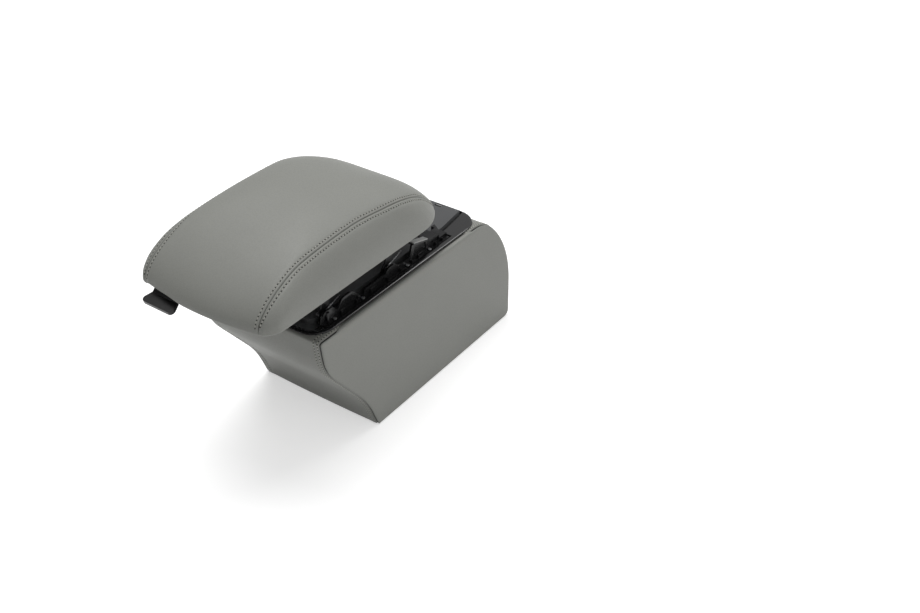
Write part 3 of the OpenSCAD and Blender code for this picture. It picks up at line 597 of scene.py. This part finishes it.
def moulded_rubber(name):
    """Moulded nitrile rubber: matt black with a greyish bloom."""
    material, tree, shader, place = new_material(name)
    bloom = add_node(tree, "ShaderNodeTexNoise", Vector=place, Scale=260.0, Detail=4.0)
    blend_with(tree, shader, "#161616", "#2b2b2b", bloom.outputs["Fac"])
    shader.inputs["Roughness"].default_value = 0.85
    return material


finish_nodes(["lid_bumpers"], moulded_rubber("Black nitrile rubber"))


# Arm brackets: glass-filled nylon mouldings screwed along both sides of the lid. They hold the
# lower pivots and the wound springs that help the pad up.

gloss_nylon = moulded_plastic(
    "Black glass-filled nylon", "#151516", roughness=0.26, grain_mm=0.6, depth_mm=0.02
)
for side_name in ("right", "left"):
    softened_copy(
        "hinge_bracket_" + side_name, "arm_bracket_" + side_name, "lid",
        gloss_nylon, edge_mm=0.35,
    )
spring_wire = plated_steel("Drawn spring wire", "#b4b5b6", roughness=0.25)
pale_nylon = moulded_plastic("Pale grey nylon", "#a9aaa8", roughness=0.4, grain_mm=0.5, depth_mm=0.02)
softened_copy("landing_pads", "stop_pads", "lid", pale_nylon, edge_mm=0.3)
softened_copy("wound_springs", "lift_springs", "lid", spring_wire, edge_mm=0.0, angle=80)


# Arms and slide: pressed steel, dipped in black electrophoretic paint. The four arms swing
# together, and the slide's edges run in nylon channels under the pad.

def dipped_steel(name):
    """Electrophoretic paint: a thin even black film with a low gloss and faint orange peel."""
    material, tree, shader, place = new_material(name)
    peel = add_node(tree, "ShaderNodeTexNoise", Vector=place, Scale=1 / (1.6 * MM), Detail=2.0)
    bump = add_node(tree, "ShaderNodeBump", Height=peel.outputs["Fac"], Strength=0.3, Distance=0.05 * MM)
    blend_with(tree, shader, "#121213", "#202122", peel.outputs["Fac"])
    tree.links.new(bump.outputs["Normal"], shader.inputs["Normal"])
    shader.inputs["Roughness"].default_value = 0.3
    return material


black_steel = dipped_steel("Black-dipped pressed steel")
softened_copy("lifting_arm_front", "front_arm", "front_arms", black_steel, edge_mm=0.3)
softened_copy("lifting_arm_rear", "rear_arm", "rear_arms", black_steel, edge_mm=0.3)
softened_copy("pad_slide_plate", "slide_plate", "slide", black_steel, edge_mm=0.3)


# Tray under the pad: the ABS moulding that the foam sits on, with the nylon channels and the
# lock for the slide screwed into its hollow.

finish_nodes(["pad_tray"], black_abs)
black_nylon = moulded_plastic(
    "Black nylon, moulded", "#2a2a2b", roughness=0.45, grain_mm=0.5, depth_mm=0.03
)
for node in ("runner_left", "runner_right", "lock_housing"):
    softened_copy("moulded_" + node, node, "pad", black_nylon, edge_mm=0.3)
softened_copy(
    "paddle_return_spring", "paddle_spring", "pad", spring_wire, edge_mm=0.0, angle=80
)


# Pad cover: moulded foam under the same leather, sewn from one long top panel and two side
# gussets. Each seam is folded under and top-stitched on both sides, and the cover is pulled
# tight and turned in under the pad's edge.

pad_half_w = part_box("pad_cover_right")[1].x / MM
pad_front = 279.5
pad_bow = 16.0
bow_radius = 380.0
front_radius = 20.0
rear_radius = 54.0
pad_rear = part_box("pad_cover_top")[1].y / MM
pad_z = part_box("pad_cover_top")[0].z / MM
pad_h = 66.0
pad_mid = (pad_rear - pad_front) / 2
pad_half_l = (pad_rear + pad_front) / 2
pad_levels = 20
pad_arc_steps = [10, 10, 10, 10, 10]
pad_run_steps = [5, 22, 8, 22, 5]
# Curves from the pad's lower edge to its crown: how high it is, and how far its side, front and
# rear are drawn in. The crown falls away towards the front and the rear.
height_curve = (5.0, 36.0, pad_h, pad_h)
side_curve = (0, -3, 1, 82)
front_curve = (0, 0, 56, 132)
rear_curve = (0, 17, 57, 136)
front_fall = 18.0
rear_fall = 9.0
# Distance of the seam from the pad's middle at its front, at its hip and at its rear, and where
# along the pad the hip begins, peaks and ends.
seam_front, seam_hip, seam_rear = 76.2, 79.3, 73.0
hip_start, hip_peak, hip_end = -10, 57, 135


def pad_plan(side, front, rear):
    """The pad's outline in plan, pulled in at its sides, front and rear, always in equal steps."""
    part = (pad_half_w - side) / pad_half_w
    w = pad_half_w - side
    corners = [
        (0.0, -pad_front - pad_bow * part + front, bow_radius * part),
        (w, -pad_front + front, front_radius * part),
        (w, pad_rear - rear, rear_radius * part),
        (-w, pad_rear - rear, rear_radius * part),
        (-w, -pad_front + front, front_radius * part),
    ]
    return outline_ring(corners, pad_arc_steps, pad_run_steps)


def cubic(p, t):
    """A Bezier curve with four values, at t from 0 to 1."""
    return p[0] * (1 - t) ** 3 + 3 * p[1] * t * (1 - t) ** 2 + 3 * p[2] * t * t * (1 - t) + p[3] * t ** 3


def ease(a, b, t):
    """A soft passage from a to b while t goes from 0 to 1."""
    return a + (b - a) * (1 - math.cos(math.pi * min(max(t, 0.0), 1.0))) / 2


def pad_seam_x(y):
    """Distance of the seam from the pad's middle line, which swells to a hip near the rear."""
    d = y - pad_mid
    if d < hip_peak:
        return ease(seam_front, seam_hip, (d - hip_start) / (hip_peak - hip_start))
    return ease(seam_hip, seam_rear, (d - hip_peak) / (hip_end - hip_peak))


def foam_form():
    """The pad's outer form in rings from its lower edge to its crown, a little under size. A skirt
    below the edge keeps the edge crisp when the form is made even and rounded."""
    skirt = (16.0, 8.0, 1.0)
    skirt_inset = 0.5
    bm = bmesh.new()
    foot = pad_plan(skirt_inset, skirt_inset, skirt_inset)
    rings = [[Vector((p.x, p.y, pad_z - below)) for p in foot] for below in skirt]
    for level in range(pad_levels + 1):
        t = level / pad_levels
        lean = slack * (1 - t) * min(1.0, 6 * t)
        rise = cubic(height_curve, t) - slack * t
        plan = pad_plan(*(cubic(curve, t) + lean for curve in (side_curve, front_curve, rear_curve)))
        ring = []
        for p in plan:
            fall = (front_fall if p.y < pad_mid else rear_fall) * ((p.y - pad_mid) / pad_half_l) ** 2
            ring.append(Vector((p.x, p.y, pad_z + rise - fall * rise / pad_h)))
        rings.append(ring)
    loops = []
    for ring in rings:
        verts = [bm.verts.new(p) for p in ring]
        loops.append([bm.edges.new((a, b)) for a, b in zip(verts, verts[1:] + verts[:1])])
    for a, b in zip(loops, loops[1:]):
        bmesh.ops.bridge_loops(bm, edges=a + b)
    bmesh.ops.contextual_create(bm, geom=loops[0])
    bmesh.ops.contextual_create(bm, geom=loops[-1])
    bmesh.ops.recalc_face_normals(bm, faces=bm.faces)
    bmesh.ops.transform(bm, matrix=Matrix.Scale(MM, 4), verts=bm.verts)
    mesh = bpy.data.meshes.new("foam form")
    bm.to_mesh(mesh)
    bm.free()
    form = bpy.data.objects.new("foam form", mesh)
    scene.collection.objects.link(form)
    return form


def rounder(piece, levels):
    """Rounds a piece by subdivision."""
    modifier = piece.modifiers.new("round", "SUBSURF")
    modifier.levels = levels
    modifier.render_levels = levels


def stuffed(form):
    """Swells the form as foam fills a cover that is held at its seams and at its lower edge."""
    voxel_mm = 5
    seam_reach = 4
    seam_above = 12
    edge_reach = 8
    last_frame = 20
    rounder(form, levels=2)
    even = form.modifiers.new("even mesh", "REMESH")
    even.mode = "VOXEL"
    even.voxel_size = voxel_mm * MM
    graph = bpy.context.evaluated_depsgraph_get()
    even_mesh = bpy.data.meshes.new_from_object(form.evaluated_get(graph))
    cover = bpy.data.objects.new("stuffed form", even_mesh)
    scene.collection.objects.link(cover)
    bpy.data.objects.remove(form)
    held = cover.vertex_groups.new(name="held")
    before = [v.co.copy() for v in cover.data.vertices]
    for v in cover.data.vertices:
        x, y, z = (c / MM for c in v.co)
        at_seam = abs(abs(x) - pad_seam_x(y)) < seam_reach and z > pad_z + seam_above
        if at_seam or z < pad_z + edge_reach:
            held.add([v.index], 1.0, "REPLACE")
    cloth = cover.modifiers.new("stuffing", "CLOTH")
    cloth.settings.use_pressure = True
    cloth.settings.uniform_pressure_force = 4
    cloth.settings.vertex_group_mass = "held"
    cloth.settings.effector_weights.gravity = 0
    cloth.point_cache.frame_start = 1
    cloth.point_cache.frame_end = last_frame
    for number in range(1, last_frame + 1):
        scene.frame_set(number)
    graph = bpy.context.evaluated_depsgraph_get()
    swollen = [v.co.copy() for v in cover.evaluated_get(graph).data.vertices]
    cover.modifiers.remove(cloth)
    scene.frame_set(1)
    for v, start, end in zip(cover.data.vertices, before, swollen):
        move = end - start
        v.co = start + move * min(1.0, largest_swell * MM / max(move.length, 1e-9))
    return cover


slack = 0.6
largest_swell = 1.3
smoothing_rounds = 3
foam = foam_form()
foam = stuffed(foam)
rounder(foam, levels=2)
foam_mesh = bmesh.new()
foam_mesh.from_object(foam, bpy.context.evaluated_depsgraph_get())
bpy.data.objects.remove(foam)
for _ in range(smoothing_rounds):
    bmesh.ops.smooth_vert(
        foam_mesh, verts=foam_mesh.verts, factor=0.5, use_axis_x=True, use_axis_y=True, use_axis_z=True
    )
bmesh.ops.transform(foam_mesh, matrix=Matrix.Scale(1 / MM, 4), verts=foam_mesh.verts)
foam_tree = BVHTree.FromBMesh(foam_mesh)
foam_mesh.free()
seam_foot = 1.8
seam_base = pad_z + seam_foot


def over_pad(x, turn):
    """Where a ray from the pad's middle line, turned about X from the front, leaves the pad, and
    the normal there."""
    outside = 400
    start = Vector((x, pad_mid, seam_base))
    way = Vector((0, -math.cos(turn), math.sin(turn)))
    return foam_tree.ray_cast(start + way * outside, -way)[:2]


def seam_offset(turn):
    """How far from the pad's middle line the seam runs at a turn, found in a few rounds."""
    first_guess = 76.0
    rounds = 4
    x = first_guess
    for _ in range(rounds):
        x = pad_seam_x(over_pad(x, turn)[0].y)
    return x


seam_samples = 400
seam_turns = [math.pi * k / seam_samples for k in range(seam_samples + 1)]
seam_line = [Vector(over_pad(seam_offset(turn), turn)[0]) for turn in seam_turns]

seam_lengths = [0.0]
for a, b in zip(seam_line, seam_line[1:]):
    seam_lengths.append(seam_lengths[-1] + (b - a).length)
station_count = round(seam_lengths[-1] / (stitch_pitch / 2))
stations = []
at = 0
for k in range(station_count + 1):
    goal = seam_lengths[-1] * k / station_count
    while at < seam_samples - 1 and seam_lengths[at + 1] < goal:
        at += 1
    part = (goal - seam_lengths[at]) / (seam_lengths[at + 1] - seam_lengths[at])
    stations.append(seam_turns[at] + part * (seam_turns[at + 1] - seam_turns[at]))

# Distances from the seam of the cover's columns beside it, one of them under the stitches.
seam_steps = [0.0, 0.3, 0.7, 1.3, 2.1, 2.9, 3.6, 4.3, 5.6, 8.0, 12.0, 17.0]
stitch_at = 3.6
top_columns = 5
side_rows = 6


def hump(d, height, centre, width):
    """A smooth rise of a height about a centre, or a dip where the height is below zero."""
    return height * math.exp(-((d - centre) / width) ** 2)


def seam_relief(d, station):
    """How far the leather stands out of its form at a distance from a top-stitched seam: it is
    drawn into the crease, pinched most where the needle went through, and flat at the seam's end."""
    crease = hump(d, height=-1.3, centre=0.0, width=0.45)
    fold = hump(d, height=0.3, centre=1.9, width=1.0)
    bite = hump(d, height=-0.5 if station % 2 else -0.05, centre=stitch_at, width=0.55)
    swell = hump(d, height=0.4, centre=7.4, width=3.0)
    fade_stations = 2
    from_end = min(station, station_count - station)
    return (crease + fold + bite + swell) * min(1.0, from_end / fade_stations)


def seam_point(side, turn):
    """Where the seam of one side lies on the form at a turn, and the normal there."""
    hit, normal = over_pad(side * seam_offset(turn), turn)
    return Vector(hit), Vector(normal)


def top_row(station):
    """The top panel's points and normals from the left seam to the right one at one station."""
    steepest = 0.05
    past_relief = 30.0
    turn = stations[station]
    right, normal = seam_point(1, turn)
    lean = math.sqrt(max(steepest, 1 - normal.x ** 2))
    xs = [right.x - d * lean for d in seam_steps]
    xs += [xs[-1] * (1 - k / top_columns) for k in range(1, top_columns + 1)]
    half = list(zip(xs, seam_steps + [past_relief] * top_columns))
    whole = [(-x, d) for x, d in half] + [(x, d) for x, d in reversed(half[:-1])]
    row = []
    for x, d in whole:
        hit, normal = over_pad(x, turn)
        row.append((Vector(hit) + Vector(normal) * seam_relief(d, station), Vector(normal)))
    return row


edge_inset = 0.4
pad_edge = [Vector((p.x, p.y, seam_base)) for p in pad_plan(edge_inset, edge_inset, edge_inset)]


def edge_run(side):
    """The pad's lower edge from the seam's front end round the side to its rear end."""
    first = seam_point(side, 0.0)[0]
    last = seam_point(side, math.pi)[0]
    outer_x = 60
    end_gap = 6
    centre_x = 40
    stretch = 2.2
    beyond = []
    for p in pad_edge:
        out = p.x * side
        between_ends = first.y + end_gap < p.y < last.y - end_gap
        if out > outer_x and (out > abs(first.x) + 1 or between_ends):
            beyond.append(p)
    beyond.sort(key=lambda p: math.atan2((p.x * side - centre_x) * stretch, -(p.y - pad_mid)))
    points_a_station = 3
    return evenly([first] + beyond + [last], seam_lengths[-1] / station_count / points_a_station)


def side_rows_at(side, station, run):
    """The side gusset's points and normals from the seam down to the pad's edge. Each is found
    by a ray towards a line inside the pad, or else as the nearest place on the form."""
    samples = 24
    core_x = 38.0
    core_front = -235.0
    core_rear = -45.0
    core_h = 12
    outside = 200
    largest_miss = 30
    full_relief_l = 26
    top = seam_point(side, stations[station])[0]
    low = run[min(round(station / station_count * (len(run) - 1)), len(run) - 1)]
    line = []
    for k in range(samples + 1):
        aim = top.lerp(low, k / samples)
        core_y = min(max(aim.y, core_front), core_rear)
        core = Vector((side * core_x, core_y, pad_z + core_h + core_h * (1 - k / samples)))
        way = (aim - core).normalized()
        hit, normal = foam_tree.ray_cast(core + way * outside, -way)[:2]
        if k in (0, samples) or hit is None or (hit - aim).length > largest_miss:
            hit, normal = foam_tree.find_nearest(aim)[:2]
        line.append((Vector(hit), Vector(normal)))
    lengths = [0.0]
    for a, b in zip(line, line[1:]):
        lengths.append(lengths[-1] + (b[0] - a[0]).length)
    total = lengths[-1]
    squeeze = min(1.0, total / full_relief_l)
    goals = [d * squeeze for d in seam_steps]
    start = goals[-1]
    goals += [start + (total - start) * k / side_rows for k in range(1, side_rows + 1)]
    row = []
    at = 0
    for goal in goals:
        while at < samples - 1 and lengths[at + 1] < goal:
            at += 1
        part = (goal - lengths[at]) / max(lengths[at + 1] - lengths[at], 1e-6)
        point = line[at][0].lerp(line[at + 1][0], min(part, 1))
        normal = line[at][1].lerp(line[at + 1][1], min(part, 1)).normalized()
        row.append((point + normal * seam_relief(goal, station), normal))
    return row


def add_strip(bm, rows):
    """Bridges rows of points into a strip."""
    made = [[bm.verts.new(p) for p, normal in row] for row in rows]
    loops = [[bm.edges.new((a, b)) for a, b in zip(row, row[1:])] for row in made]
    for a, b in zip(loops, loops[1:]):
        bmesh.ops.bridge_loops(bm, edges=a + b)


cover = bmesh.new()
top_rows = [top_row(k) for k in range(station_count + 1)]
add_strip(cover, top_rows)
side_lines = {}
for side in (1, -1):
    run = edge_run(side)
    side_lines[side] = [side_rows_at(side, k, run) for k in range(station_count + 1)]
    add_strip(cover, side_lines[side])
bmesh.ops.remove_doubles(cover, verts=cover.verts, dist=0.05)

# The cover's turned-in edge: how far in from the lower edge each row lies, and how far below it.
hem = [(0.3, -0.9), (1.6, -1.9), (4.0, -2.1), (8.0, -1.9), (11.8, -0.6)]
middle_front = -200
middle_rear = -60
edges = [e for e in cover.edges if e.is_boundary]
start_at = {}
for v in {v for e in edges for v in e.verts}:
    nearby = [e.other_vert(v) for e in v.link_edges if e.is_boundary]
    along = nearby[0].co - nearby[1].co
    flat = Vector((along.y, -along.x, 0)).normalized()
    middle = Vector((0, min(max(v.co.y, middle_front), middle_rear), 0))
    start_at[v] = (v.co.copy(), flat if flat.dot(v.co - middle) > 0 else -flat)
for inset, drop in hem:
    made = bmesh.ops.extrude_edge_only(cover, edges=edges)["geom"]
    edges = [g for g in made if isinstance(g, bmesh.types.BMEdge)]
    moved = {}
    for v in [g for g in made if isinstance(g, bmesh.types.BMVert)]:
        before = next(e.other_vert(v) for e in v.link_edges if e.other_vert(v) in start_at)
        home, way = start_at[before]
        v.co = home - way * inset + Vector((0, 0, drop))
        moved[v] = (home, way)
    start_at = moved

# The lower edge is drawn up a little where the paddle's neck passes under it.
notch_x = -50.0
notch_half = 20.0
notch_fade = 6
notch_rear = -255
notch_h = 9
notch_rise = 3.0
for v in cover.verts:
    near = max(0.0, 1 - max(0.0, abs(v.co.x - notch_x) - notch_half) / notch_fade)
    if v.co.y < notch_rear and near > 0 and v.co.z < pad_z + notch_h:
        v.co.z += notch_rise * near * max(0.0, 1 - (v.co.z - pad_z) / notch_h) ** 1.5
bmesh.ops.transform(cover, matrix=Matrix.Scale(MM, 4), verts=cover.verts)
pad_cover = flat_shape(
    "pad_cover", cover, grey_leather, "pad", "grey_leather",
    "pad_foam", "pad_cover_top", "pad_cover_left", "pad_cover_right",
)
rounder(pad_cover, levels=1)

grey_thread = thread_material("Grey bonded thread", "#adada5")
stitch_column = seam_steps.index(stitch_at)
top_ends = 2
side_ends = 4
cover_tree = BVHTree.FromObject(pad_cover, bpy.context.evaluated_depsgraph_get())


def sew_on_pad(bm, places):
    """A row of stitches laid on the finished cover at the places nearest to the given ones."""
    found = [cover_tree.find_nearest(place * MM) for place in places]
    stitch_row(bm, [Vector(f[0]) / MM for f in found], [Vector(f[1]) for f in found])


for side, side_name in ((1, "right"), (-1, "left")):
    sewing = bmesh.new()
    column = -1 - stitch_column if side > 0 else stitch_column
    sew_on_pad(sewing, [row[column][0] for row in top_rows][top_ends:-top_ends])
    sew_on_pad(sewing, [row[stitch_column][0] for row in side_lines[side]][side_ends:-side_ends])
    sewn_piece("pad_top_stitching_" + side_name, sewing, grey_thread, "pad")


# Release paddle: a moulded lever under the pad's front edge, pulled up to let the slide go.

paddle_abs = moulded_plastic("Black ABS, paddle", "#0b0b0c", roughness=0.34, grain_mm=0.4, depth_mm=0.03)
softened_copy("finger_paddle", "release_paddle", "paddle", paddle_abs, edge_mm=0.7)


# Floor, light and camera: a white studio sweep under broad soft light, seen from the front
# right and above.

def studio_white(name, shade, brightness):
    """A matt white sweep that the camera sees as plain white wherever no shadow falls on it."""
    material = bpy.data.materials.new(name)
    material.use_nodes = True
    tree = material.node_tree
    tree.nodes.clear()
    output = add_node(tree, "ShaderNodeOutputMaterial")
    matt = add_node(tree, "ShaderNodeBsdfDiffuse", Color=(shade, shade, shade, 1.0))
    glow = add_node(tree, "ShaderNodeEmission", Color=(1.0, 1.0, 1.0, 1.0), Strength=brightness)
    both = add_node(tree, "ShaderNodeAddShader", i0=matt.outputs[0], i1=glow.outputs[0])
    path = add_node(tree, "ShaderNodeLightPath")
    in_sight = add_node(
        tree, "ShaderNodeMath", {"operation": "MAXIMUM"},
        i0=path.outputs["Is Camera Ray"], i1=path.outputs["Is Glossy Ray"],
    )
    seen = add_node(
        tree, "ShaderNodeMixShader", i0=in_sight.outputs[0], i1=matt.outputs[0], i2=both.outputs[0]
    )
    tree.links.new(seen.outputs[0], output.inputs["Surface"])
    return material


bpy.ops.mesh.primitive_plane_add(size=14, location=(0, 0, 0))
floor = bpy.context.object
floor.name = "studio_floor"
floor.data.materials.append(studio_white("Studio sweep, matt white", shade=0.86, brightness=0.5))

# The room is brighter above, behind and to the right. The camera sees it plain white.
world = bpy.data.worlds.new("studio light")
scene.world = world
world.use_nodes = True
room_tree = world.node_tree
sky = room_tree.nodes["Background"]
light_path = add_node(room_tree, "ShaderNodeLightPath")
view_way = add_node(room_tree, "ShaderNodeTexCoord").outputs["Generated"]
bright_way = (0.35, 0.6, 0.72)
from_behind = add_node(
    room_tree, "ShaderNodeVectorMath", {"operation": "DOT_PRODUCT"}, i0=view_way, i1=bright_way
)
room = add_node(
    room_tree, "ShaderNodeMapRange", Value=from_behind.outputs["Value"],
    From_Min=-0.7, From_Max=0.8, To_Min=0.05, To_Max=0.5,
)
strength = add_node(
    room_tree, "ShaderNodeMix", {"data_type": "FLOAT"},
    i0=light_path.outputs["Is Camera Ray"], i2=room.outputs["Result"], i3=1.0,
)
sky.inputs["Color"].default_value = (1.0, 1.0, 1.0, 1.0)
room_tree.links.new(strength.outputs[0], sky.inputs["Strength"])


def soft_light(name, place, size, power):
    """A round softbox that faces the armrest."""
    target = (0, -0.05, 0.1)
    data = bpy.data.lights.new(name, "AREA")
    data.shape = "DISK"
    data.size = size
    data.energy = power
    lamp = bpy.data.objects.new(name, data)
    scene.collection.objects.link(lamp)
    lamp.location = place
    lamp.rotation_euler = (Vector(target) - Vector(place)).to_track_quat("-Z", "Y").to_euler()


soft_light("overhead_softbox", (-0.5, 0.05, 2.2), size=1.6, power=29)
soft_light("rear_softbox", (0.6, 1.5, 1.8), size=0.8, power=6)
soft_light("side_softbox", (2.2, -0.4, 1.2), size=1.2, power=6)

# The camera is the one that was fitted to the box's right angles in the photo.
camera_data = bpy.data.cameras.new("photo view")
camera = bpy.data.objects.new("photo view", camera_data)
scene.collection.objects.link(camera)
scene.camera = camera
focal_px = 1146.26
image_w = 920
camera_data.sensor_width = 36.0
camera_data.lens = focal_px / image_w * camera_data.sensor_width
camera_data.clip_start = 0.05
pitch, yaw, roll = math.radians(34.97), math.radians(35.668), math.radians(-0.439)
ahead = Vector((-math.sin(yaw) * math.cos(pitch), math.cos(yaw) * math.cos(pitch), -math.sin(pitch)))
level = Vector((math.cos(yaw), math.sin(yaw), 0))
above = level.cross(ahead)
right = level * math.cos(roll) + above * math.sin(roll)
up = above * math.cos(roll) - level * math.sin(roll)
turned = Matrix((right, up, -ahead)).transposed().to_4x4()
camera_place = (0.72385, -0.86454, 0.83751)
camera.matrix_world = Matrix.Translation(camera_place) @ turned

bpy.context.view_layer.update()
